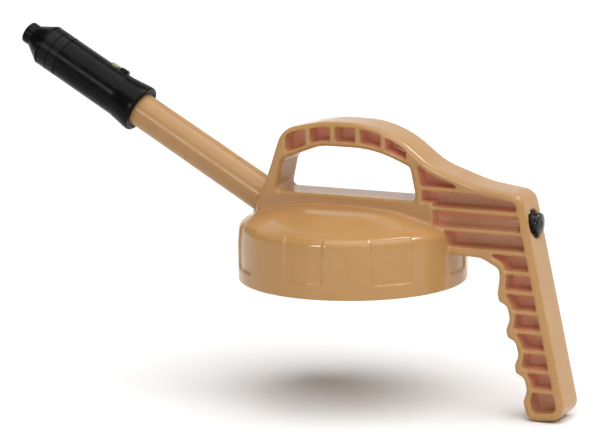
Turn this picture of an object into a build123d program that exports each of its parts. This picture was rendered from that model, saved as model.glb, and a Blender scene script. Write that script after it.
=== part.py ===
from build123d import *
import os
from math import atan, cos, degrees, radians, sin

# Pouring lid for a wide-mouth oil dispensing drum, in millimetres.
# Origin: centre of the lid's mouth, in the plane of its bottom rim. +Z is up along the thread
# axis, the spout rises towards -X and the pistol grip hangs down at +X. The plane Y = 0 is the
# symmetry plane of the lid, its carrying handle and its grip.

# --- Lid shell ---
LID_R = 66.0              # outside radius of the skirt
SKIRT_WALL = 3.4          # skirt wall at the thread
DOME_WALL = 2.8           # wall of the shoulder and the crown
SHOULDER_Z = 32.6         # height of the skirt, to the corner under the shoulder's rounding
DRAFT_Z = 10.6            # the skirt draws in over this height, up to that corner
DRAFT = 1.0               # and by this much on the radius
SHOULDER_IN = 9.4         # the shoulder runs in this far from the skirt
SHOULDER_UP = 3.6
CROWN_EDGE_R = 32.5       # where the crown gets flatter
CROWN_EDGE_UP = 10.0      # heights above SHOULDER_Z
CROWN_UP = 12.2           # top of the crown on the axis
RIDGE_UP = 16.6           # top of the ridge under the hand opening
RIM_ROUND = 1.0
DRAFT_ROUND = 60.0
SKIRT_ROUND = 5.0
SHOULDER_ROUND = 30.0
CROWN_ROUND = 60.0

THREAD_PITCH = 8.0
THREAD_START_Z = 5.4
THREAD_RELIEF = 2.3       # height left free between the thread's end and the seal land
THREAD_HEIGHT = 1.3
THREAD_ROOT = 0.3         # depth that the ridge is sunk into the wall
THREAD_ROOT_W = 3.6
THREAD_CREST_W = 1.4
LEAD_IN_STEP = 0.6        # the plain lead-in at the rim is this much wider than the thread wall
LEAD_IN_Z = 3.2
LAND_STEP = 1.6           # the seal land stands this far in from the thread wall
LAND_L = 8.0
GASKET_T = 2.5
GASKET_W = 7.0
GASKET_GAP = 0.2
SHELF_W = 8.5             # ring that the gasket seats against
SHELF_T = 2.5
SHELF_DROP = 3.1          # top of that ring, below SHOULDER_Z

# Shallow finger panels round the skirt.
PANEL_COUNT = 8
PANEL_HALF_ANGLE = 10.5
PANEL_DEPTH = 1.0
PANEL_Z = 8.0
PANEL_CORNER = 3.0
PANEL_TOP_UP = 1.0        # the panels run out into the shoulder this far above SHOULDER_Z

# --- Moulded handle and grip, one profile in the XZ plane ---
LEG_SIDE_WALL = 2.0       # wall of the handle's front leg, beside the tube that passes through it
WEB_T = 3.0               # middle web
EDGE_ROUND = 2.4          # rounding of the outer edges
RIDGE_ROUND = 1.6
BAR_FLANGE = 3.0          # flange thickness along the carrying handle's top bar
GRIP_FLANGE = 4.5         # flange thickness round the web and the grip
POCKET_ROUND = 1.0

# Corners of the profile before rounding, as (distance, height above the ridge's top).
# The front ones are measured back from the lid's front edge, the rear ones from its rear edge.
LEG_FOOT = (10.7, -9.9)
LEG_LEAN = 0.348          # lean of the front leg's outer line, X per Z
LEG_ROOT_DOWN = 16.2      # the leg's outer line ends this far below the ridge's top, in the dome
BAR_FRONT = (26.8, 36.3)
BAR_TOP_FRONT = (54.0, 42.4)
BAR_TOP_REAR = (-39.9, 41.6)
BAR_REAR = (-11.5, 20.1)
WEB_TOP = (15.5, 11.0)
REAR_TOP_UP = 7.2
GRIP_REAR = (49.7, -26.9)      # a point on the grip's rear edge
GRIP_LEAN = 0.2147             # lean of that edge, X per Z
GRIP_BOTTOM_UP = -117.8
HEEL = (46.3, -120.2)
THROAT = [(29.2, -39.7), (28.6, -35.0), (18.5, -29.7), (-8.0, -28.6)]
THROAT_ROUNDS = [5.0, 3.5, 12.0, 0]
HAND_FRONT = [(22.6, 0), (26.8, 18.7), (51.0, 27.9)]
HAND_REAR = [(-47.1, 27.9), (-24.9, 19.0), (-20.9, 0)]
HAND_ROUNDS = [3, 5, 30, 70, 4, 3]
SPLIT_BACK = 20.4         # the carrying handle ends this far short of the lid's rear edge
NECK_BACK = 10.8          # the neck of the web is solid up to here

FINGER_COUNT = 3
FINGER_PITCH = 20.75
FINGER_TIP = (43.5, -109.2)    # tip of the lowest cusp, measured as the rear corners are
FINGER_LEAN = 0.2585           # lean of the line through the cusps
FINGER_DEPTH = 3.8
FINGER_LIP = 0.36              # the lower edge of each cusp stands out this far
# One groove's corners, as (share of the pitch, depth) from the cusp below it, and their rounding.
FINGER_GROOVE = [(0, 0), (0.27, FINGER_DEPTH), (0.62, FINGER_DEPTH), (0.79, -FINGER_LIP)]
FINGER_ROUNDS = [2.6, 7.0, 4.0, 2.6]
# A plainer groove, which the pockets behind the fingers follow.
POCKET_GROOVE = [(0, 0), (0.4, FINGER_DEPTH)]
POCKET_ROUNDS = [2.6, 7.0]

BAR_POCKETS = 5
BAR_POCKET_FRONT = 29.6   # from the lid's front edge to the first pocket
BAR_POCKET_REAR = 26.9    # from the last pocket to the lid's rear edge
BAR_POCKET_DEEP = 12.0    # the pockets' windows reach this far below the bar's underside
BAR_RIB = 3.0

RIB_TOP_UP = 6.44         # underside of the highest rib, above the ridge's top
RIB_PITCH = 10.976
RIB_T = 2.2
RIB_COUNT = 11
MIN_POCKET = 8.0          # a pocket with less area than this is left solid

# --- Spout ---
SPOUT_RISE = 29.34        # degrees above horizontal
SPOUT_UP_Z = 0.1          # the axis crosses the lid's front edge this far above the ridge's top
TUBE_R = 10.2
TUBE_WALL = 2.4
TUBE_BASE_STEP = 0.3      # the tube's foot is this much larger on the radius
TUBE_S0 = -17.0           # places along the spout are distances from the lid's front edge
TUBE_TAPER_S = 74.0
TUBE_S1 = 146.0
SOCKET_WALL = 3.0
SOCKET_DEPTH_S = -24.0
SOCKET_BORE_S = -36.0

SLEEVE_WALL = 2.64
SLEEVE_S0 = 82.5
SLEEVE_CLEAR = 0.06       # radial running clearance on the tube
COLLAR_STEP = 1.6
COLLAR_S = 85.5
FLARE_S = 97.5
CONE_S = 155.3
CONE_TIP_S = 164.8
OUTLET_R = 5.2
OUTLET_WALL = 1.55
CONE_TIP_STEP = 0.55
TIP_S = 170.6
OUTLET_S = 160.0          # inner end of the outlet bore
THROAT_S = 150.0
GROOVE_PITCH = 6.7
GROOVE_W = 0.8
GROOVE_DEPTH = 0.45
GROOVE_COUNT = 3

TWIST = 50.0              # sleeve's twist from shut to open, in degrees
ADVANCE = 4.0             # sleeve's travel towards the tip over that twist
LUG_ANGLE = 18.0          # cam lug's place round the tube, from its upper side towards +Y
LUG_S = 111.0
LUG_L = 6.0
LUG_W = 5.0
LUG_PROUD = 1.1           # beyond the sleeve
LUG_STEM_R = 1.9
SLOT_CLEAR = 0.5
BUMP_PROUD = 1.6
BUMP_L = 5.2
BUMP_W = 6.6
BUMP_GAP = 0.6
BUMP_EDGE = 1.1
BUMP_CORNER = 1.6
SLOT_END = 0.35
LUG_CORNER = 2.0
LUG_EDGE = 0.8

WIPER_L = 3.6
WIPER_T = 1.44
WIPER_GAP = 0.3           # between the wiper's outer face and the collar's mouth
ORING_D = 1.3
ORING_GROOVE = 1.9
ORING_S = (124.0, 136.0)
SOCKET_RING_S = -14.5

PLUG_CLEAR = 0.07         # radial clearance of the plug's land in the outlet
PLUG_LAND_S = 162.0       # front edge of the plug's sealing land
PLUG_LAND_L = 3.0
PLUG_NOSE = 3.0
PLUG_CONE = 4.0
PLUG_CONE_STEP = 0.6
PLUG_STEM_R = 2.2
PLUG_RING_L = 2.0
PLUG_RING_WALL = 1.6
PLUG_LEG_COUNT = 3
PLUG_LEG_L = 8.0
PLUG_LEG_T = 1.6
PLUG_LEG_ROOT = 0.6       # how far a leg is sunk into the stem
PLUG_SEAT_STEP = 0.9
PLUG_RING_D = 1.2

# --- Air vent worked by the thumb button ---
VENT_DOWN = 9.8           # axis of the guide tube, parallel to X, below the ridge's top
VENT_TRAVEL = 3.0
ROD_R = 2.0
ROD_CLEAR = 0.05
AIR_GAP = 0.7             # round the rod
BUSH_WALL = 1.35
BUSH_L = 6.0
BUSH_SLOT = 1.2
BUSH_SLOTS = 3
GUIDE_WALL = 1.8
GUIDE_REAR_WALL = 1.3
GUIDE_STEP = 15.0         # the guide tube gets wider this far behind the lid
SPRING_WIRE = 0.8
SPRING_TURNS = 7.0
SPRING_GAP = 1.15         # between the rod and the coil
SPRING_WELL_GAP = 0.55
SPRING_WELL_L = 10.5
BUTTON_STEP = 1.75        # the button is this much larger on the radius than the spring well
BUTTON_L = 7.6
BUTTON_PROUD = 5.0
BUTTON_CROWN = 1.5
BUTTON_EDGE = 1.2
WINDOW_GAP = 1.75         # round the button
WINDOW_DEPTH = 1.6        # the window's bore runs in this far past the pressed button
SEAT_BACK = 13.0          # valve seat, from the lid's rear edge
CHAMBER_L = 12.0
CHAMBER_GAP = 0.9         # round the poppet
POPPET_STEP = 0.3
POPPET_T = 2.0
SEAT_W = 1.7              # width of the seal's ring on its seat
VALVE_SEAL_T = 1.0
SEAT_GAP = 0.03
FIT_GAP = 0.02            # gap round pieces that are pressed or bonded in place
ROD_TIP = 3.0
CLIP_STEP = 1.2
CLIP_T = 0.8
CLIP_SHARE = 0.7          # radius left under the clip's groove, as a share of the rod's
CLIP_OPENING = 0.6        # half the snap ring's opening, as a share of the rod's radius
ROD_GRIP = 3.0            # the rod's length inside the button

BEYOND = 400.0            # cutters and trimming blocks reach this far, past every piece

# --- Sizes that follow ---
HALF_W = TUBE_R + TUBE_BASE_STEP + LEG_SIDE_WALL
HANDLE_W = 2 * HALF_W     # width of the handle and the grip across Y
THREAD_WALL_R = LID_R - SKIRT_WALL
LEAD_IN_R = THREAD_WALL_R + LEAD_IN_STEP
LAND_R = THREAD_WALL_R - LAND_STEP
SHELF_R = THREAD_WALL_R - SHELF_W
SHELF_Z1 = SHOULDER_Z - SHELF_DROP
GASKET_Z1 = SHELF_Z1 - SHELF_T
LAND_Z1 = GASKET_Z1 - GASKET_T
LAND_Z0 = LAND_Z1 - LAND_L
CROWN_Z = SHOULDER_Z + CROWN_UP
RIDGE_Z = SHOULDER_Z + RIDGE_UP
SHOULDER_TOP_Z = SHOULDER_Z + SHOULDER_UP

SPLIT_X = LID_R - SPLIT_BACK
NECK_X = LID_R - NECK_BACK
RIB_Z = [RIDGE_Z + RIB_TOP_UP - RIB_PITCH * i for i in range(RIB_COUNT)]

SPOUT_DIR = (-cos(radians(SPOUT_RISE)), 0, sin(radians(SPOUT_RISE)))
SPOUT_UP = (sin(radians(SPOUT_RISE)), 0, cos(radians(SPOUT_RISE)))
SPOUT = Plane(origin=(-LID_R, 0, RIDGE_Z + SPOUT_UP_Z), x_dir=SPOUT_UP, z_dir=SPOUT_DIR)
TUBE_BORE_R = TUBE_R - TUBE_WALL
TUBE_BASE_R = TUBE_R + TUBE_BASE_STEP
SLEEVE_BORE_R = TUBE_R + SLEEVE_CLEAR
SLEEVE_R = SLEEVE_BORE_R + SLEEVE_WALL
COLLAR_R = SLEEVE_R + COLLAR_STEP
WIPER_R = SLEEVE_BORE_R + WIPER_T
TIP_R = OUTLET_R + OUTLET_WALL
CONE_TIP_R = TIP_R + CONE_TIP_STEP
LUG_R = SLEEVE_R + LUG_PROUD
BUMP_R = SLEEVE_R + BUMP_PROUD
PLUG_R = OUTLET_R - PLUG_CLEAR

VENT_Z = RIDGE_Z - VENT_DOWN
VENT_REAR_X = LID_R + GRIP_REAR[0] + GRIP_LEAN * (GRIP_REAR[1] + VENT_DOWN)
BUTTON_X1 = VENT_REAR_X + BUTTON_PROUD
BUTTON_X0 = BUTTON_X1 - BUTTON_L
WINDOW_X = BUTTON_X0 - VENT_TRAVEL - WINDOW_DEPTH
WELL_X = WINDOW_X - SPRING_WELL_L
SEAT_X = LID_R - SEAT_BACK
CHAMBER_X0 = SEAT_X - CHAMBER_L
VALVE_X = SEAT_X - SEAT_GAP
GUIDE_STEP_X = LID_R + GUIDE_STEP
AIR_R = ROD_R + AIR_GAP
BUSH_R = ROD_R + ROD_CLEAR + BUSH_WALL
GUIDE_R = BUSH_R + GUIDE_WALL
SPRING_R = ROD_R + SPRING_GAP + SPRING_WIRE / 2
SPRING_WELL_R = SPRING_R + SPRING_WIRE / 2 + SPRING_WELL_GAP
GUIDE_REAR_R = SPRING_WELL_R + GUIDE_REAR_WALL
BUTTON_R = SPRING_WELL_R + BUTTON_STEP
WINDOW_R = BUTTON_R + WINDOW_GAP
VALVE_SEAL_R = AIR_R + SEAT_W
POPPET_R = VALVE_SEAL_R + POPPET_STEP
CHAMBER_R = POPPET_R + CHAMBER_GAP
CLIP_R = ROD_R + CLIP_STEP


def xz_face(points, radii):
    """Closed outline in the XZ plane with its corners rounded."""
    return make_face(Plane.XZ * FilletPolyline(*points, radius=radii, close=True))


def slab(face, width):
    """Solid of the given width centred on Y = 0."""
    return extrude(face, amount=width / 2, both=True)


def turned(points, radii=0):
    """Solid turned about Z from a closed outline of (radius, height) points."""
    return revolve(xz_face(points, radii), Axis.Z)


def rod_x(radius, x0, x1, z=VENT_Z):
    """Cylinder along X."""
    return Plane(origin=(x0, 0, z), z_dir=(1, 0, 0)) * Cylinder(
        radius, x1 - x0, align=(Align.CENTER, Align.CENTER, Align.MIN))


def tube_x(outer, inner, x0, x1):
    return rod_x(outer, x0, x1) - rod_x(inner, x0 - 1, x1 + 1)


def block(x0, x1, y0, y1, z0, z1):
    return Pos(x0, y0, z0) * Box(x1 - x0, y1 - y0, z1 - z0, align=(Align.MIN, Align.MIN, Align.MIN))


def ring_solid(centre_r, section_d, height):
    """O-ring about Z."""
    return Pos(0, 0, height) * Torus(centre_r, section_d / 2)


# --- Lid shell ---
LID_CORNERS = [
    (LID_R, SHOULDER_Z - DRAFT_Z), (LID_R - DRAFT, SHOULDER_Z),
    (LID_R - SHOULDER_IN, SHOULDER_TOP_Z), (CROWN_EDGE_R, SHOULDER_Z + CROWN_EDGE_UP)]


def lid_outside():
    return turned(
        [(0, 0), (LID_R, 0)] + LID_CORNERS + [(0, CROWN_Z)],
        [0, RIM_ROUND, DRAFT_ROUND, SKIRT_ROUND, SHOULDER_ROUND, CROWN_ROUND, 0])


def inner_corner(before, corner, after):
    """The corner of an outline's inner line, DOME_WALL inside it."""
    first = (Vector(*corner) - Vector(*before)).normalized()
    second = (Vector(*after) - Vector(*corner)).normalized()
    inward = Vector(-first.Y - second.Y, first.X + second.X) / (1 + first.dot(second))
    moved = Vector(*corner) + inward * DOME_WALL
    return (moved.X, moved.Y)


def lid_inside():
    line = LID_CORNERS + [(0, CROWN_Z)]
    shoulder, shoulder_top, crown_edge = [inner_corner(*line[i:i + 3]) for i in range(3)]
    return turned([
        (0, -1), (LEAD_IN_R, -1), (LEAD_IN_R, LEAD_IN_Z), (THREAD_WALL_R, LEAD_IN_Z),
        (THREAD_WALL_R, LAND_Z0), (LAND_R, LAND_Z0),
        (LAND_R, LAND_Z1), (THREAD_WALL_R, LAND_Z1), (THREAD_WALL_R, GASKET_Z1),
        (SHELF_R, GASKET_Z1), (SHELF_R, SHELF_Z1), (shoulder[0], SHELF_Z1),
        shoulder, shoulder_top, crown_edge, (0, CROWN_Z - DOME_WALL)])


def lid_thread():
    """Internal thread ridge, from above the lead-in to below the seal land."""
    root_r = THREAD_WALL_R + THREAD_ROOT
    height = LAND_Z0 - THREAD_RELIEF - THREAD_START_Z
    helix = Pos(0, 0, THREAD_START_Z) * Helix(THREAD_PITCH, height, root_r)
    crest = THREAD_HEIGHT + THREAD_ROOT
    profile = Plane(origin=helix @ 0, x_dir=(1, 0, 0), z_dir=helix % 0)
    ridge = make_face(profile * Polyline(
        (0, -THREAD_ROOT_W / 2), (-crest, -THREAD_CREST_W / 2), (-crest, THREAD_CREST_W / 2),
        (0, THREAD_ROOT_W / 2), close=True))
    return sweep(ridge, path=helix, is_frenet=True)


def lid_panels():
    """Cutters for the shallow panels, whose floors follow the skirt and end in the shoulder."""
    half = LID_R * sin(radians(PANEL_HALF_ANGLE))
    top = SHOULDER_Z + PANEL_TOP_UP
    outline = make_face(Plane.YZ * FilletPolyline(
        (-half, top), (-half, PANEL_Z), (half, PANEL_Z), (half, top),
        radius=[0, PANEL_CORNER, PANEL_CORNER, 0], close=True))
    bar = Pos(LID_R / 2, 0, 0) * extrude(outline, amount=LID_R)
    floor = [(r - PANEL_DEPTH, z) for r, z in [(LID_R, 0)] + LID_CORNERS]
    core = turned([(0, 0)] + floor + [(0, CROWN_Z)], [0, 0, DRAFT_ROUND, SKIRT_ROUND, SHOULDER_ROUND, 0, 0])
    one = bar - core
    return [Rot(0, 0, 360 / PANEL_COUNT * i) * one for i in range(PANEL_COUNT)]


def up_cylinder(radius, z0, z1):
    """Cylinder about Z, or along the spout once it is placed there."""
    return Pos(0, 0, z0) * Cylinder(radius, z1 - z0, align=(Align.CENTER, Align.CENTER, Align.MIN))


def spout_cylinder(radius, s0, s1):
    return SPOUT * up_cylinder(radius, s0, s1)


def moulding_outside():
    """Lid outside with the ridge, as the boundary that sockets and bosses are trimmed to."""
    return lid_outside() + ridge_bar()


def ridge_bar():
    """Flat-topped ridge under the hand opening, between the two legs of the handle."""
    leg_middle_x = -LID_R + (LEG_FOOT[0] + HAND_FRONT[0][0]) / 2
    z0 = SHOULDER_TOP_Z - DOME_WALL / 2
    bar = block(leg_middle_x, NECK_X, -HALF_W, HALF_W, z0, RIDGE_Z)
    top_edges = bar.edges().filter_by(Axis.X).group_by(Axis.Z)[-1]
    return fillet(top_edges, RIDGE_ROUND)


def lid_shell():
    body = moulding_outside() - lid_inside()
    socket = spout_cylinder(TUBE_BASE_R + SOCKET_WALL, SOCKET_DEPTH_S, 0)
    above_shelf = block(-LID_R, LID_R, -LID_R, LID_R, SHELF_Z1, RIDGE_Z)
    chamber_boss = rod_x(CHAMBER_R + DOME_WALL, CHAMBER_X0, SEAT_X + DOME_WALL)
    body = body + ((socket + chamber_boss) & above_shelf & moulding_outside())
    body = body - lid_panels()
    body = body + lid_thread()
    body = body - spout_cylinder(TUBE_BASE_R + FIT_GAP, TUBE_S0, TUBE_TAPER_S)
    body = body - spout_cylinder(TUBE_BORE_R, SOCKET_BORE_S, 0)
    body = body - rod_x(CHAMBER_R, CHAMBER_X0 - 1, SEAT_X) - rod_x(AIR_R, SEAT_X - 1, LID_R)
    return body


def lid_gasket():
    outer = THREAD_WALL_R - GASKET_GAP
    return Pos(0, 0, LAND_Z1) * (
        Cylinder(outer, GASKET_T, align=(Align.CENTER, Align.CENTER, Align.MIN))
        - Cylinder(outer - GASKET_W, 3 * GASKET_T))


# --- Carrying handle, web and grip ---
def from_front(corner):
    """A corner measured back from the lid's front edge and up from the ridge's top."""
    return (-LID_R + corner[0], RIDGE_Z + corner[1])


def from_rear(corner):
    return (LID_R + corner[0], RIDGE_Z + corner[1])


def finger_points(groove):
    """The grip's front edge, from the lowest cusp to the highest."""
    length = (1 + FINGER_LEAN ** 2) ** 0.5
    up = Vector(-FINGER_LEAN / length, 1 / length)
    inward = Vector(up.Y, -up.X)
    tip = Vector(*from_rear(FINGER_TIP))
    points = []
    for i in range(FINGER_COUNT):
        for share, depth in groove:
            points.append(tip + up * ((i + share) * FINGER_PITCH) + inward * depth)
    points.append(tip + up * (FINGER_COUNT * FINGER_PITCH))
    return [(p.X, p.Y) for p in points]


def grip_rear(up):
    """Point on the grip's rear edge at a height above the ridge's top."""
    return from_rear((GRIP_REAR[0] + GRIP_LEAN * (GRIP_REAR[1] - up), up))


def handle_outline(groove, groove_rounds):
    """Outer outline of the carrying handle, the web and the grip."""
    leg_root_x = LEG_FOOT[0] - LEG_LEAN * (LEG_ROOT_DOWN + LEG_FOOT[1])
    leg = [from_front((LEG_FOOT[0] + DOME_WALL, -LEG_ROOT_DOWN)), from_front((leg_root_x, -LEG_ROOT_DOWN))]
    top = [from_front(BAR_FRONT), from_front(BAR_TOP_FRONT)]
    top += [from_rear(corner) for corner in (BAR_TOP_REAR, BAR_REAR, WEB_TOP)]
    grip = [grip_rear(REAR_TOP_UP), grip_rear(GRIP_BOTTOM_UP), from_rear(HEEL)]
    throat = [from_rear(corner) for corner in THROAT]
    root = from_rear((-LID_R / 4, -LEG_ROOT_DOWN))
    return xz_face(
        leg + top + grip + finger_points(groove) + throat + [root],
        [0, 0, 15, 90, 60, 40, 60, 8.5, 8, 6] + groove_rounds * FINGER_COUNT
        + [groove_rounds[0]] + THROAT_ROUNDS + [0])


def hand_opening():
    return xz_face(
        [from_front(corner) for corner in HAND_FRONT] + [from_rear(corner) for corner in HAND_REAR],
        HAND_ROUNDS)


def handle_slab():
    """Solid of the whole handle and grip before its pockets, clear of the lid."""
    raw = slab(handle_outline(FINGER_GROOVE, FINGER_ROUNDS) - hand_opening(), HANDLE_W)
    rims = raw.edges().filter_by(lambda e: abs(abs(e.center().Y) - HALF_W) < 1e-3)
    outside = [e for e in rims if e.center().Z > RIDGE_Z + 1 or e.center().X > LID_R + 1]
    return fillet(outside, EDGE_ROUND)


def rounded(region):
    """The same region with its outward corners rounded."""
    return offset(offset(region, -POCKET_ROUND), POCKET_ROUND)


def strip(x0, x1, z0, z1):
    """Rectangle in the XZ plane."""
    return xz_face([(x0, z0), (x1, z0), (x1, z1), (x0, z1)], 0)


def bar_pockets():
    """Pockets in the side of the carrying handle's top bar."""
    inset = offset(handle_outline(POCKET_GROOVE, POCKET_ROUNDS) - hand_opening(), -BAR_FLANGE)
    x_first = -LID_R + BAR_POCKET_FRONT
    pitch = (LID_R - BAR_POCKET_REAR - x_first + BAR_RIB) / BAR_POCKETS
    underside = RIDGE_Z + HAND_FRONT[-1][1]
    pockets = []
    for i in range(BAR_POCKETS):
        x0 = x_first + i * pitch
        window = strip(x0, x0 + pitch - BAR_RIB, underside - BAR_POCKET_DEEP, BEYOND)
        pockets += [rounded(face) for face in (inset & window).faces()]
    return pockets


def grip_pockets():
    """Pockets between the ribs of the web and the grip."""
    region = offset(handle_outline(POCKET_GROOVE, POCKET_ROUNDS) - hand_opening(), -GRIP_FLANGE)
    region = region - strip(-BEYOND, SPLIT_X, -BEYOND, BEYOND)
    region = region - strip(SPLIT_X, NECK_X, 0, RIB_Z[1] + RIB_T)
    for z in RIB_Z:
        region = region - strip(SPLIT_X, BEYOND, z, z + RIB_T)
    return [rounded(face) for face in region.faces() if face.area > MIN_POCKET]


def cut_pockets(body, pockets):
    """Cut each pocket into both sides, leaving the web between them."""
    depth = HALF_W - WEB_T / 2
    for face in pockets:
        for side in (-1, 1):
            body = body - Pos(0, side * HALF_W, 0) * extrude(face, amount=depth, dir=(0, -side, 0))
    return body


def carry_handle(slab_solid):
    half = slab_solid & block(-BEYOND, SPLIT_X, -HANDLE_W, HANDLE_W, 0, BEYOND)
    body = cut_pockets(half, bar_pockets()) - moulding_outside()
    return body - spout_cylinder(TUBE_BASE_R + FIT_GAP, TUBE_S0, TUBE_S1)


def pour_grip(slab_solid):
    body = slab_solid & block(SPLIT_X, BEYOND, -HANDLE_W, HANDLE_W, -BEYOND, BEYOND)
    body = cut_pockets(body, grip_pockets())
    body = body + rod_x(GUIDE_R, NECK_X - 1, GUIDE_STEP_X) + rod_x(GUIDE_REAR_R, GUIDE_STEP_X, WINDOW_X)
    body = body - moulding_outside()
    body = body - rod_x(WINDOW_R, WINDOW_X, BEYOND) - rod_x(SPRING_WELL_R, WELL_X, WINDOW_X)
    return body - rod_x(BUSH_R + FIT_GAP, WELL_X - BUSH_L, WELL_X) - rod_x(AIR_R, SPLIT_X, WELL_X)


# --- Spout tube and what it carries ---
def tube_groove(place, outer=TUBE_R):
    half = ORING_GROOVE / 2
    return up_cylinder(outer + 1, place - half, place + half) - up_cylinder(
        outer - ORING_D, place - half - 1, place + half + 1)


def spout_tube():
    tube = turned([
        (TUBE_BORE_R, TUBE_S0), (TUBE_BASE_R, TUBE_S0), (TUBE_R, TUBE_TAPER_S), (TUBE_R, TUBE_S1),
        (TUBE_BORE_R + PLUG_SEAT_STEP, TUBE_S1), (TUBE_BORE_R + PLUG_SEAT_STEP, TUBE_S1 - PLUG_RING_L),
        (TUBE_BORE_R, TUBE_S1 - PLUG_RING_L)])
    for place in ORING_S:
        tube = tube - tube_groove(place)
    tube = tube - tube_groove(SOCKET_RING_S, TUBE_BASE_R)
    stem_hole = Rot(0, 0, LUG_ANGLE) * Pos(0, 0, LUG_S) * Rot(0, 90, 0) * up_cylinder(
        LUG_STEM_R + FIT_GAP, 0, LUG_R)
    return SPOUT * (tube - stem_hole)


def cam_lug():
    head = extrude(Plane.YZ * RectangleRounded(LUG_W, LUG_L, LUG_CORNER), amount=LUG_R)
    head = fillet(head.faces().sort_by(Axis.X)[-1].edges(), LUG_EDGE)
    head = head - up_cylinder(TUBE_R, -LUG_L, LUG_L)
    stem = Rot(0, 90, 0) * up_cylinder(LUG_STEM_R, TUBE_BORE_R + FIT_GAP, TUBE_R + 1)
    return SPOUT * Rot(0, 0, LUG_ANGLE) * Pos(0, 0, LUG_S) * (head + stem)


def tube_oring(place, outer=TUBE_R):
    """Ring in its groove, level with the tube's surface."""
    return SPOUT * ring_solid(outer - ORING_D / 2, ORING_D, place)


def valve_plug():
    ring_r = TUBE_BORE_R + PLUG_SEAT_STEP - FIT_GAP
    inner_r = ring_r - PLUG_RING_WALL
    ring = up_cylinder(ring_r, TUBE_S1 - PLUG_RING_L, TUBE_S1) - up_cylinder(inner_r, 0, 2 * TUBE_S1)
    land_s0 = PLUG_LAND_S - PLUG_LAND_L
    groove_r = PLUG_R - PLUG_RING_D / 2
    middle = PLUG_LAND_S - PLUG_LAND_L / 2
    stem = turned([
        (0, TUBE_S1 - PLUG_LEG_L), (PLUG_STEM_R, TUBE_S1 - PLUG_LEG_L), (PLUG_STEM_R, land_s0 - PLUG_CONE),
        (PLUG_R - PLUG_CONE_STEP, land_s0), (PLUG_R, land_s0), (PLUG_R, middle - PLUG_RING_D / 2),
        (groove_r, middle - PLUG_RING_D / 2), (groove_r, middle + PLUG_RING_D / 2),
        (PLUG_R, middle + PLUG_RING_D / 2), (PLUG_R, PLUG_LAND_S), (0, PLUG_LAND_S + PLUG_NOSE)])
    plug = ring + stem
    for i in range(PLUG_LEG_COUNT):
        leg = block(PLUG_STEM_R - PLUG_LEG_ROOT, TUBE_BORE_R - 2 * FIT_GAP, -PLUG_LEG_T / 2, PLUG_LEG_T / 2,
                    TUBE_S1 - PLUG_LEG_L, TUBE_S1)
        plug = plug + Rot(0, 0, 360 / PLUG_LEG_COUNT * i) * leg
    return SPOUT * plug


def plug_oring():
    section = PLUG_RING_D / 2
    return SPOUT * ring_solid(PLUG_R - section / 2, section, PLUG_LAND_S - PLUG_LAND_L / 2)


# --- Twist nozzle ---
def cam_slot():
    """Cutter for the slot that the lug runs in, helical to within its clearance."""
    mid_r = (TUBE_R + SLEEVE_R) / 2
    reach = mid_r * sin(radians(TWIST / 2)) + SLOT_END
    rise = ADVANCE / 2 * reach / (mid_r * sin(radians(TWIST / 2)))
    length = 2 * (reach ** 2 + rise ** 2) ** 0.5
    width = LUG_L + 2 * SLOT_CLEAR
    outline = Plane.YZ * SlotCenterToCenter(length, width, rotation=-degrees(atan(rise / reach)))
    cutter = Pos(TUBE_R / 2, 0, 0) * extrude(outline, amount=TUBE_R)
    return Rot(0, 0, LUG_ANGLE + TWIST / 2) * Pos(0, 0, LUG_S - ADVANCE / 2) * cutter


def sleeve_bump():
    """Raised stop behind the slot, over the lug when the nozzle is shut."""
    place = LUG_S - LUG_L / 2 - SLOT_CLEAR - BUMP_L / 2 - BUMP_GAP
    root_r = (SLEEVE_BORE_R + SLEEVE_R) / 2
    shape = Pos((root_r + BUMP_R) / 2, 0, 0) * Box(BUMP_R - root_r, BUMP_W, BUMP_L)
    shape = fillet(shape.edges().filter_by(Axis.X), BUMP_CORNER)
    shape = fillet(shape.faces().sort_by(Axis.X)[-1].edges(), BUMP_EDGE)
    return Rot(0, 0, LUG_ANGLE) * Pos(0, 0, place) * shape


def nozzle_sleeve():
    wiper_s = SLEEVE_S0 + WIPER_L
    body = turned([
        (SLEEVE_BORE_R, wiper_s), (WIPER_R, wiper_s), (WIPER_R, SLEEVE_S0), (COLLAR_R, SLEEVE_S0),
        (COLLAR_R, COLLAR_S), (SLEEVE_R, FLARE_S), (SLEEVE_R, CONE_S), (CONE_TIP_R, CONE_TIP_S),
        (TIP_R, CONE_TIP_S), (TIP_R, TIP_S), (OUTLET_R, TIP_S), (OUTLET_R, OUTLET_S),
        (SLEEVE_BORE_R, THROAT_S)],
        [0, 0, 0.5, 1.0, 4, 20, 0.8, 0.3, 0.2, 0.8, 0.3, 0.3, 0])
    body = body + sleeve_bump()
    for i in range(GROOVE_COUNT):
        place = CONE_S - GROOVE_W - i * GROOVE_PITCH
        body = body - (up_cylinder(SLEEVE_R + 1, place - GROOVE_W, place)
                       - up_cylinder(SLEEVE_R - GROOVE_DEPTH, place - 2, place + 1))
    return SPOUT * (body - cam_slot())


def sleeve_wiper():
    """Ring in the collar that slides along the tube with the sleeve and doesn't turn."""
    ring = up_cylinder(WIPER_R - SLEEVE_CLEAR, SLEEVE_S0 + WIPER_GAP, SLEEVE_S0 + WIPER_L - SLEEVE_CLEAR)
    return SPOUT * (ring - up_cylinder(SLEEVE_BORE_R, SLEEVE_S0 - 1, SLEEVE_S0 + 2 * WIPER_L))


# --- Vent button and valve ---
def vent_button():
    face = turned([(0, 0), (BUTTON_R, 0), (BUTTON_R, BUTTON_L - BUTTON_CROWN), (0, BUTTON_L)],
                  [0, 0, BUTTON_EDGE, 0])
    button = Plane(origin=(BUTTON_X0, 0, VENT_Z), z_dir=(1, 0, 0)) * face
    return button - rod_x(ROD_R + FIT_GAP, BUTTON_X0 - 1, BUTTON_X0 + ROD_GRIP)


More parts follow.
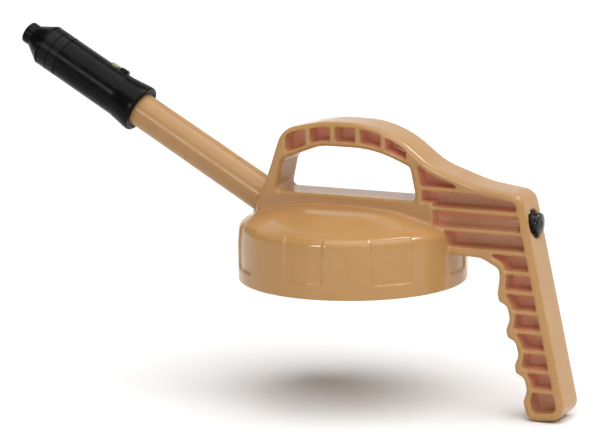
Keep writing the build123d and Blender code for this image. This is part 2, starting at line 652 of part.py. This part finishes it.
def vent_rod():
    x0 = VALVE_X - VALVE_SEAL_T - POPPET_T - CLIP_T - ROD_TIP
    rod = rod_x(ROD_R, x0, BUTTON_X0 + ROD_GRIP)
    rod = chamfer(rod.edges().sort_by(Axis.X)[0], ROD_R / 4)
    groove_x = VALVE_X - VALVE_SEAL_T - POPPET_T
    return rod - tube_x(ROD_R + 1, ROD_R * CLIP_SHARE, groove_x - CLIP_T, groove_x)


def vent_seal():
    return tube_x(VALVE_SEAL_R, ROD_R + FIT_GAP, VALVE_X - VALVE_SEAL_T, VALVE_X)


def vent_poppet():
    x1 = VALVE_X - VALVE_SEAL_T
    disc = rod_x(POPPET_R, x1 - POPPET_T, x1)
    disc = chamfer(disc.edges().sort_by(Axis.X)[0], POPPET_T / 4)
    return disc - rod_x(ROD_R + FIT_GAP, x1 - 2 * POPPET_T, x1 + 1)


def rod_clip():
    """Open snap ring in the rod's groove, in front of the poppet."""
    x1 = VALVE_X - VALVE_SEAL_T - POPPET_T
    ring = tube_x(CLIP_R, ROD_R * CLIP_SHARE, x1 - CLIP_T, x1)
    half = ROD_R * CLIP_OPENING
    return ring - block(x1 - 2 * CLIP_T, x1 + 1, -half, half, VENT_Z, VENT_Z + 2 * CLIP_R)


def rod_bush():
    bush = tube_x(BUSH_R, ROD_R + ROD_CLEAR, WELL_X - BUSH_L, WELL_X)
    for i in range(BUSH_SLOTS):
        slot = block(WELL_X - 2 * BUSH_L, WELL_X + 1, -BUSH_SLOT / 2, BUSH_SLOT / 2, AIR_R, 2 * BUSH_R)
        bush = bush - Pos(0, 0, VENT_Z) * Rot(360 / BUSH_SLOTS * i, 0, 0) * slot
    return bush


def vent_spring():
    length = BUTTON_X0 - WELL_X - SPRING_WIRE
    path = Helix(length / SPRING_TURNS, length, SPRING_R)
    coil = sweep(Plane(origin=path @ 0, z_dir=path % 0) * Circle(SPRING_WIRE / 2), path=path, is_frenet=True)
    return Plane(origin=(WELL_X + SPRING_WIRE / 2, 0, VENT_Z), z_dir=(1, 0, 0)) * coil


def build():
    slab_solid = handle_slab()
    return {
        "lid_shell": lid_shell(),
        "carry_handle": carry_handle(slab_solid),
        "pour_grip": pour_grip(slab_solid),
        "lid_gasket": lid_gasket(),
        "spout_tube": spout_tube(),
        "socket_oring": tube_oring(SOCKET_RING_S, TUBE_BASE_R),
        "tube_oring_rear": tube_oring(ORING_S[0]),
        "tube_oring_front": tube_oring(ORING_S[1]),
        "cam_lug": cam_lug(),
        "valve_plug": valve_plug(),
        "plug_oring": plug_oring(),
        "sleeve_wiper": sleeve_wiper(),
        "nozzle_sleeve": nozzle_sleeve(),
        "vent_button": vent_button(),
        "vent_rod": vent_rod(),
        "vent_poppet": vent_poppet(),
        "vent_seal": vent_seal(),
        "rod_clip": rod_clip(),
        "rod_bush": rod_bush(),
        "vent_spring": vent_spring(),
    }


os.makedirs("parts", exist_ok=True)
for name, shape in build().items():
    export_step(shape, f"parts/{name}.step")
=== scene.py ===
import math

import bmesh
import bpy
import numpy
from mathutils import Matrix, Vector


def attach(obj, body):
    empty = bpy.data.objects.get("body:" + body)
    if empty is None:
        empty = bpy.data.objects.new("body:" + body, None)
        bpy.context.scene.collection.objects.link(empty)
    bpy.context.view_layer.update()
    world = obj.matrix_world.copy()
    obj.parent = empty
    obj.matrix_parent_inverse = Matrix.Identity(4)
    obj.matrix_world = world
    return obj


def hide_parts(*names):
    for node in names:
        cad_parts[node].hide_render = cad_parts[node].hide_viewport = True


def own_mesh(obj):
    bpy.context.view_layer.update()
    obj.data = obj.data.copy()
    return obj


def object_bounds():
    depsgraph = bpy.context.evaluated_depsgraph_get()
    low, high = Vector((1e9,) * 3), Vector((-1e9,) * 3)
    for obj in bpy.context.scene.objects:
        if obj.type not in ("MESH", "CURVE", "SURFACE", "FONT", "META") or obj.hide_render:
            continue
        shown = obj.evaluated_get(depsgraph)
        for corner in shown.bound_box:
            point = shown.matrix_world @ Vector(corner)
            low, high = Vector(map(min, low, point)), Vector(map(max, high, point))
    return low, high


# Looks of an oil container's pouring lid. Metres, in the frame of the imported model:
# origin at the centre of the lid's mouth, +Z up, the spout towards -X and the grip towards +X.

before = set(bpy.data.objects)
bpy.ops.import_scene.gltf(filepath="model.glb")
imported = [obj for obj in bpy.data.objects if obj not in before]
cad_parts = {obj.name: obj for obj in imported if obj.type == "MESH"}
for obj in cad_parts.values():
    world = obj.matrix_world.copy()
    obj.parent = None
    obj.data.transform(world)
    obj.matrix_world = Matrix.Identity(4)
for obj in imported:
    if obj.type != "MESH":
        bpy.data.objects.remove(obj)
cad_lo, cad_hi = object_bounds()

# --- Camera, at the photograph's angle; lens and sensor in millimetres ---
CAM_AZIMUTH = math.radians(26.668)
CAM_ELEVATION = math.radians(10.901)
CAM_ROLL = math.radians(-0.781)
CAM_DISTANCE = 1.5070
CAM_TARGET = Vector((-0.03371, 0.0, 0.02917))
CAM_LENS = 156.02
CAM_SENSOR = 36.0
CAM_NEAR = 0.05
CAM_FAR = 30.0

# --- Lamps: where each one shines from, how wide it is in degrees, and its strength ---
KEY_FROM = (0.27, -0.20, 0.94)
KEY_WIDTH = 78.0
KEY_STRENGTH = 3.4
FILL_FROM = (0.44, -0.88, 0.19)
FILL_WIDTH = 40.0
FILL_STRENGTH = 0.30
GLINT_FROM = (0.42, 0.27, 0.87)
GLINT_WIDTH = 16.0
GLINT_STRENGTH = 2.4
STREAK_FROM = (-0.19, -0.95, 0.25)
STREAK_WIDTH = 13.0
STREAK_STRENGTH = 0.8
WHITE = (1.0, 1.0, 1.0)
WARM_WHITE = (1.0, 0.985, 0.95)
SKY_STRENGTH = 0.12

# --- Floor: a sheet that bends up behind the object ---
FLOOR_DROP = 0.0004
FLOOR_DEPTH = 4.0
FLOOR_HALF_WIDTH = 6.0
FLOOR_TOP = 5.0
FLOOR_BEND = 1.5
FLOOR_BEND_STEPS = 16

# --- Moulding: the voxel's size and the smoothing set how soft its edges are ---
MOULDING_NODES = ["lid_shell", "carry_handle", "pour_grip"]
VOXEL = 0.0006
SMOOTH_STEPS = 3
SMOOTH_SHARE = 0.5
WELD = 2e-6

# --- Spout's axis, the tube's radius at its foot, and the fillet round it ---
SPOUT_RISE = math.radians(29.34)
SPOUT_FOOT = Vector((-0.066, 0.0, 0.0493))
SPOUT_DIR = Vector((-math.cos(SPOUT_RISE), 0.0, math.sin(SPOUT_RISE)))
TUBE_R = 0.0105
FILLET_REACH = 0.0030
FILLET_HEIGHT = 0.0024
FILLET_FROM = -0.0200
FACING_LEAST = 0.2
FACING_SPAN = 0.3

# --- Vent: the spring's node in the model ---
SPRING_NODE = "vent_spring"

# --- Colours, linear ---
TAN = (0.465, 0.252, 0.094)
TAN_DARK = (0.425, 0.222, 0.081)
TAN_LIGHT = (0.51, 0.290, 0.113)
TUBE_TAN = (0.41, 0.224, 0.084)
# Painted red bounce light and shade, for the moulding's hollows
HOLLOW_BOUNCE_RED = (0.95, 0.480, 0.340)
OLIVE = (0.34, 0.33, 0.14)
OLIVE_DARK = (0.30, 0.29, 0.12)
OLIVE_LIGHT = (0.40, 0.38, 0.18)
EDGE_GREY = (0.030, 0.030, 0.031)
BLACK_DARK_TINT = (0.8, 0.8, 0.84)
BLACK_LIGHT_TINT = (1.5, 1.5, 1.52)

# --- Moulded plastic: how much of each mark shows, and where the hollows take the painted red bounce light and shade ---
NOISE_RANGE = (0.3, 0.7)
DRIFT_SHARE = 0.55
FLOW_SHARE = 0.22
SPECK_SHARE = 0.10
EDGE_LIFT = 1.08
HOLLOW_BOUNCE_REACH = 0.011
HOLLOW_BOUNCE_OPENNESS = (0.15, 0.72)
HOLLOW_BOUNCE_SHARE = 0.95


# ---------------------------------------------------------------- camera, light and floor
def add_object(name, data):
    """New object with this data, put in the scene."""
    item = bpy.data.objects.new(name, data)
    bpy.context.scene.collection.objects.link(item)
    return item


def make_camera():
    back = Vector((math.sin(CAM_AZIMUTH) * math.cos(CAM_ELEVATION),
                   -math.cos(CAM_AZIMUTH) * math.cos(CAM_ELEVATION),
                   math.sin(CAM_ELEVATION)))
    right = Vector((math.cos(CAM_AZIMUTH), math.sin(CAM_AZIMUTH), 0.0))
    up = back.cross(right)
    rolled_right = math.cos(CAM_ROLL) * right + math.sin(CAM_ROLL) * up
    rolled_up = -math.sin(CAM_ROLL) * right + math.cos(CAM_ROLL) * up
    turn = Matrix((rolled_right, rolled_up, back)).transposed().to_4x4()
    data = bpy.data.cameras.new("camera")
    data.lens = CAM_LENS
    data.sensor_width = CAM_SENSOR
    data.clip_start = CAM_NEAR
    data.clip_end = CAM_FAR
    camera = add_object("camera", data)
    camera.matrix_world = Matrix.Translation(CAM_TARGET + back * CAM_DISTANCE) @ turn
    bpy.context.scene.camera = camera


def add_sun(name, towards, width, strength, colour=WHITE, only_gloss=False):
    """Lamp at no distance, the same everywhere. With only_gloss it shows in reflections alone."""
    data = bpy.data.lights.new(name, "SUN")
    data.energy = strength
    data.angle = math.radians(width)
    data.color = colour
    lamp = add_object(name, data)
    lamp.rotation_mode = "QUATERNION"
    lamp.rotation_quaternion = (-Vector(towards)).to_track_quat("-Z", "Y")
    lamp.visible_diffuse = not only_gloss


def make_lights():
    """Broad lamps above and beside the camera, small ones for the gloss, and a weak white sky."""
    add_sun("key", KEY_FROM, KEY_WIDTH, KEY_STRENGTH)
    add_sun("fill", FILL_FROM, FILL_WIDTH, FILL_STRENGTH)
    add_sun("glint", GLINT_FROM, GLINT_WIDTH, GLINT_STRENGTH, WARM_WHITE, only_gloss=True)
    add_sun("streak", STREAK_FROM, STREAK_WIDTH, STREAK_STRENGTH, only_gloss=True)
    world = bpy.data.worlds.new("studio")
    world.use_nodes = True
    background = world.node_tree.nodes["Background"]
    background.inputs["Color"].default_value = (*WHITE, 1.0)
    background.inputs["Strength"].default_value = SKY_STRENGTH
    bpy.context.scene.world = world
    bpy.context.scene.view_settings.view_transform = "Standard"


def make_floor(lowest):
    """Pale sheet that curves up a long way behind the object."""
    profile = [(-FLOOR_DEPTH, 0.0), (FLOOR_DEPTH - FLOOR_BEND, 0.0)]
    for i in range(1, FLOOR_BEND_STEPS + 1):
        angle = math.pi / 2 * i / FLOOR_BEND_STEPS
        profile.append((FLOOR_DEPTH - FLOOR_BEND + FLOOR_BEND * math.sin(angle),
                        FLOOR_BEND - FLOOR_BEND * math.cos(angle)))
    profile.append((FLOOR_DEPTH, FLOOR_TOP))
    vertices = [(x, y, lowest - FLOOR_DROP + z)
                for y, z in profile for x in (-FLOOR_HALF_WIDTH, FLOOR_HALF_WIDTH)]
    faces = [(2 * i, 2 * i + 1, 2 * i + 3, 2 * i + 2) for i in range(len(profile) - 1)]
    mesh = bpy.data.meshes.new("floor")
    mesh.from_pydata(vertices, [], faces)
    mesh.shade_smooth()
    mesh.materials.append(paper_material())
    add_object("floor", mesh)


# ---------------------------------------------------------------- materials
class Nodes:
    """A material's node tree, with short names for what the materials here need."""

    def __init__(self, name):
        self.material = bpy.data.materials.new(name)
        self.material.use_nodes = True
        self.tree = self.material.node_tree
        self.shader = self.tree.nodes["Principled BSDF"]
        self.place = self.add("ShaderNodeTexCoord").outputs["Object"]

    def add(self, kind, **settings):
        node = self.tree.nodes.new(kind)
        for key, value in settings.items():
            setattr(node, key, value)
        return node

    def link(self, source, target):
        self.tree.links.new(source, target)

    def noise(self, scale, detail=2.0, stretch=(1.0, 1.0, 1.0), rough=0.5):
        """Noise over the object's own coordinates; a stretch below 1 draws it out."""
        mapping = self.add("ShaderNodeMapping")
        mapping.inputs["Scale"].default_value = stretch
        self.link(self.place, mapping.inputs["Vector"])
        node = self.add("ShaderNodeTexNoise")
        node.inputs["Scale"].default_value = scale
        node.inputs["Detail"].default_value = detail
        node.inputs["Roughness"].default_value = rough
        self.link(mapping.outputs["Vector"], node.inputs["Vector"])
        return node.outputs["Fac"]

    def to_number(self, source, between, becomes):
        """Turns one range of a value into another, held at its ends."""
        node = self.add("ShaderNodeMapRange")
        node.inputs["From Min"].default_value = between[0]
        node.inputs["From Max"].default_value = between[1]
        node.inputs["To Min"].default_value = becomes[0]
        node.inputs["To Max"].default_value = becomes[1]
        self.link(source, node.inputs["Value"])
        return node.outputs["Result"]

    def to_colour(self, source, between, dark, light):
        """Turns a range of a value into the colours from dark to light, held at its ends."""
        node = self.add("ShaderNodeValToRGB")
        for stop, position, colour in zip(node.color_ramp.elements, between, (dark, light)):
            stop.position = position
            stop.color = (*colour, 1.0)
        self.link(source, node.inputs["Fac"])
        return node.outputs["Color"]

    def mix(self, share, first, second):
        """Colour mix; each of the three may be a plain value or another node's output."""
        node = self.add("ShaderNodeMix", data_type="RGBA")
        sockets = (node.inputs["Factor"], node.inputs[6], node.inputs[7])
        for socket, value in zip(sockets, (share, first, second)):
            if isinstance(value, bpy.types.NodeSocket):
                self.link(value, socket)
            elif isinstance(value, float):
                socket.default_value = value
            else:
                socket.default_value = (*value, 1.0)
        return node.outputs[2]

    def bump(self, height, strength, distance, normal=None):
        node = self.add("ShaderNodeBump")
        node.inputs["Strength"].default_value = strength
        node.inputs["Distance"].default_value = distance
        self.link(height, node.inputs["Height"])
        if normal is not None:
            self.link(normal, node.inputs["Normal"])
        return node.outputs["Normal"]

    def sharp_edges(self, low, high):
        """1 on sharp outward edges, 0 elsewhere."""
        pointiness = self.add("ShaderNodeNewGeometry").outputs["Pointiness"]
        return self.to_number(pointiness, (low, high), (0.0, 1.0))

    def colour_from(self, source):
        self.link(source, self.shader.inputs["Base Color"])

    def roughness_from(self, source):
        self.link(source, self.shader.inputs["Roughness"])

    def normal_from(self, source):
        self.link(source, self.shader.inputs["Normal"])

    def set(self, **values):
        """Plain values for the shader's inputs, with _ for each space in their names."""
        for key, value in values.items():
            self.shader.inputs[key.replace("_", " ")].default_value = value


def moulded_plastic(name, colour, dark, light, roughness, hollow_bounce=None):
    """Satin moulded plastic: slow colour drift, faint flow marks, a fine grain and paler edges.
    Where a hollow colour is given, the plastic takes it deep in its hollows, as painted red bounce
    light and shade."""
    m = Nodes(name)
    drift = m.to_colour(m.noise(scale=22.0, detail=3.0), NOISE_RANGE, dark, light)
    flow = m.noise(scale=55.0, detail=4.0, stretch=(1.0, 1.0, 0.18), rough=0.6)
    base = m.mix(DRIFT_SHARE, colour, drift)
    base = m.mix(m.to_number(flow, (0.42, 0.66), (0.0, FLOW_SHARE)), base, light)
    if hollow_bounce is not None:
        # Painted bounce light and shade: where occlusion finds a hollow, the colour turns to the
        # red one
        occlusion = m.add("ShaderNodeAmbientOcclusion", samples=8, only_local=True)
        occlusion.inputs["Distance"].default_value = HOLLOW_BOUNCE_REACH
        painted_bounce = m.to_number(occlusion.outputs["AO"], HOLLOW_BOUNCE_OPENNESS, (HOLLOW_BOUNCE_SHARE, 0.0))
        base = m.mix(painted_bounce, base, hollow_bounce)
    specks = m.to_number(m.noise(scale=2400.0, detail=1.0), (0.70, 0.80), (0.0, SPECK_SHARE))
    base = m.mix(specks, base, dark)
    pale = tuple(EDGE_LIFT * channel for channel in light)
    m.colour_from(m.mix(m.sharp_edges(0.56, 0.70), base, pale))
    patches = m.noise(scale=130.0, detail=4.0)
    m.roughness_from(m.to_number(patches, NOISE_RANGE, (roughness - 0.04, roughness + 0.06)))
    grain = m.bump(m.noise(scale=1500.0, detail=3.0), strength=0.12, distance=0.00004)
    sink = m.noise(scale=30.0, detail=1.0)
    m.normal_from(m.bump(sink, strength=0.03, distance=0.0005, normal=grain))
    m.set(IOR=1.38, Subsurface_Weight=0.10, Subsurface_Scale=0.0022,
          Subsurface_Radius=(1.0, 0.42, 0.22))
    return m.material


def black_plastic(name, grey, roughness, ior=1.17, grain=0.18):
    """Black moulded plastic with a fine grain and greyer sharp edges."""
    m = Nodes(name)
    dark = tuple(grey * channel for channel in BLACK_DARK_TINT)
    light = tuple(grey * channel for channel in BLACK_LIGHT_TINT)
    base = m.to_colour(m.noise(scale=60.0, detail=3.0), NOISE_RANGE, dark, light)
    m.colour_from(m.mix(m.sharp_edges(0.54, 0.66), base, EDGE_GREY))
    scuffs = m.noise(scale=240.0, detail=5.0, stretch=(0.35, 1.0, 1.0), rough=0.62)
    m.roughness_from(m.to_number(scuffs, (0.35, 0.7), (roughness - 0.04, roughness + 0.10)))
    m.normal_from(m.bump(m.noise(scale=1800.0, detail=3.0), strength=grain, distance=0.00005))
    m.set(IOR=ior)
    return m.material


def rubber_material():
    """Matt black rubber, for the gasket, the rings and the vent's seal."""
    m = Nodes("black_rubber")
    mottle = m.noise(scale=300.0, detail=3.0)
    m.colour_from(m.to_colour(mottle, NOISE_RANGE, (0.018, 0.018, 0.019), (0.034, 0.034, 0.035)))
    m.roughness_from(m.to_number(m.noise(scale=700.0), NOISE_RANGE, (0.62, 0.80)))
    m.normal_from(m.bump(m.noise(scale=2600.0), strength=0.3, distance=0.00005))
    return m.material


def steel_material():
    """Drawn steel, with fine scratches along the rod."""
    m = Nodes("drawn_steel")
    streaks = m.noise(scale=900.0, detail=4.0, stretch=(0.05, 1.0, 1.0), rough=0.6)
    m.colour_from(m.to_colour(streaks, NOISE_RANGE, (0.42, 0.42, 0.43), (0.66, 0.66, 0.66)))
    m.roughness_from(m.to_number(streaks, NOISE_RANGE, (0.22, 0.38)))
    m.normal_from(m.bump(streaks, strength=0.15, distance=0.00003))
    m.set(Metallic=1.0)
    return m.material


def paper_material():
    """Matt pale paper, for the floor."""
    m = Nodes("pale_paper")
    clouds = m.noise(scale=3.0)
    m.colour_from(m.to_colour(clouds, NOISE_RANGE, (0.90, 0.90, 0.895), (0.93, 0.93, 0.925)))
    m.normal_from(m.bump(m.noise(scale=700.0), strength=0.05, distance=0.0002))
    m.set(Roughness=0.85, Specular_IOR_Level=0.2)
    return m.material


# ---------------------------------------------------------------- pieces
def joined_mesh(nodes, name):
    """One mesh with the shapes of several CAD nodes, its split corners welded."""
    together = bmesh.new()
    for node in nodes:
        together.from_mesh(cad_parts[node].data)
    bmesh.ops.remove_doubles(together, verts=together.verts, dist=WELD)
    mesh = bpy.data.meshes.new(name)
    together.to_mesh(mesh)
    together.free()
    return mesh


def raise_fillet(mesh):
    """Draws the moulding up round the spout's tube, as a fillet where the tube comes out of it."""
    places = numpy.empty(3 * len(mesh.vertices), dtype=numpy.float32)
    mesh.vertices.foreach_get("co", places)
    places = places.reshape(-1, 3)
    normals = numpy.empty(3 * len(mesh.vertices), dtype=numpy.float32)
    mesh.vertex_normals.foreach_get("vector", normals)
    normals = normals.reshape(-1, 3)
    direction = numpy.array(SPOUT_DIR)
    from_foot = places - numpy.array(SPOUT_FOOT)
    along = from_foot @ direction
    gap = numpy.linalg.norm(from_foot - numpy.outer(along, direction), axis=1) - TUBE_R
    facing = numpy.clip((normals @ direction - FACING_LEAST) / FACING_SPAN, 0.0, 1.0)
    near = 1.0 - numpy.clip(gap / FILLET_REACH, 0.0, 1.0)
    lift = numpy.where(along > FILLET_FROM, FILLET_HEIGHT * near ** 2 * facing, 0.0)
    places += numpy.outer(lift, direction)
    mesh.vertices.foreach_set("co", places.ravel())
    mesh.update()


def apply_modifiers(piece):
    graph = bpy.context.evaluated_depsgraph_get()
    mesh = bpy.data.meshes.new_from_object(piece.evaluated_get(graph))
    piece.modifiers.clear()
    old = piece.data
    piece.data = mesh
    bpy.data.meshes.remove(old)


def make_moulding(material):
    """Lid, carrying handle and grip as the one moulding that they are, with soft moulded edges."""
    piece = add_object("moulding", joined_mesh(MOULDING_NODES, "moulding"))
    remesh = piece.modifiers.new("remesh", "REMESH")
    remesh.mode = "VOXEL"
    remesh.voxel_size = VOXEL
    smooth = piece.modifiers.new("smooth", "SMOOTH")
    smooth.factor = SMOOTH_SHARE
    smooth.iterations = SMOOTH_STEPS
    bpy.context.view_layer.update()
    apply_modifiers(piece)
    raise_fillet(piece.data)
    piece.data.shade_smooth()
    piece.data.materials.append(material)
    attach(piece, "lid")
    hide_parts(*MOULDING_NODES)


def make_spring(material):
    """The vent's spring, as its own mesh carried by the lid."""
    mesh = joined_mesh([SPRING_NODE], "return_spring")
    mesh.shade_smooth()
    mesh.materials.append(material)
    piece = add_object("return_spring", mesh)
    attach(piece, "lid")
    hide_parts(SPRING_NODE)
    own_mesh(piece)


def paint(node, material):
    """Gives a CAD node its material, in every slot."""
    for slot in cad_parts[node].material_slots:
        slot.link = "OBJECT"
        slot.material = material


def paint_nodes(steel):
    """Materials for the nodes that keep their CAD shape, rubber where none is named."""
    tube = moulded_plastic("tube_plastic", TUBE_TAN, TUBE_TAN, TAN_DARK, roughness=0.30)
    lug = moulded_plastic("lug_plastic", OLIVE, OLIVE_DARK, OLIVE_LIGHT, roughness=0.4)
    nozzle = black_plastic("nozzle_plastic", grey=0.0025, roughness=0.24)
    button = black_plastic("button_plastic", grey=0.004, roughness=0.14, ior=1.40, grain=0.05)
    inner = black_plastic("inner_plastic", grey=0.016, roughness=0.5)
    rubber = rubber_material()
    materials = {
        "spout_tube": tube, "cam_lug": lug, "nozzle_sleeve": nozzle, "vent_button": button,
        "valve_plug": inner, "vent_poppet": inner, "rod_bush": inner,
        "vent_rod": steel, "rod_clip": steel,
    }
    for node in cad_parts:
        if node not in MOULDING_NODES + [SPRING_NODE]:
            paint(node, materials.get(node, rubber))


make_camera()
make_lights()
# The body's hollows get the painted red bounce light and shade
body_plastic = moulded_plastic("body_plastic", TAN, TAN_DARK, TAN_LIGHT, roughness=0.15,
                               hollow_bounce=HOLLOW_BOUNCE_RED)
drawn_steel = steel_material()
make_moulding(body_plastic)
make_spring(drawn_steel)
paint_nodes(drawn_steel)
make_floor(cad_lo.z)
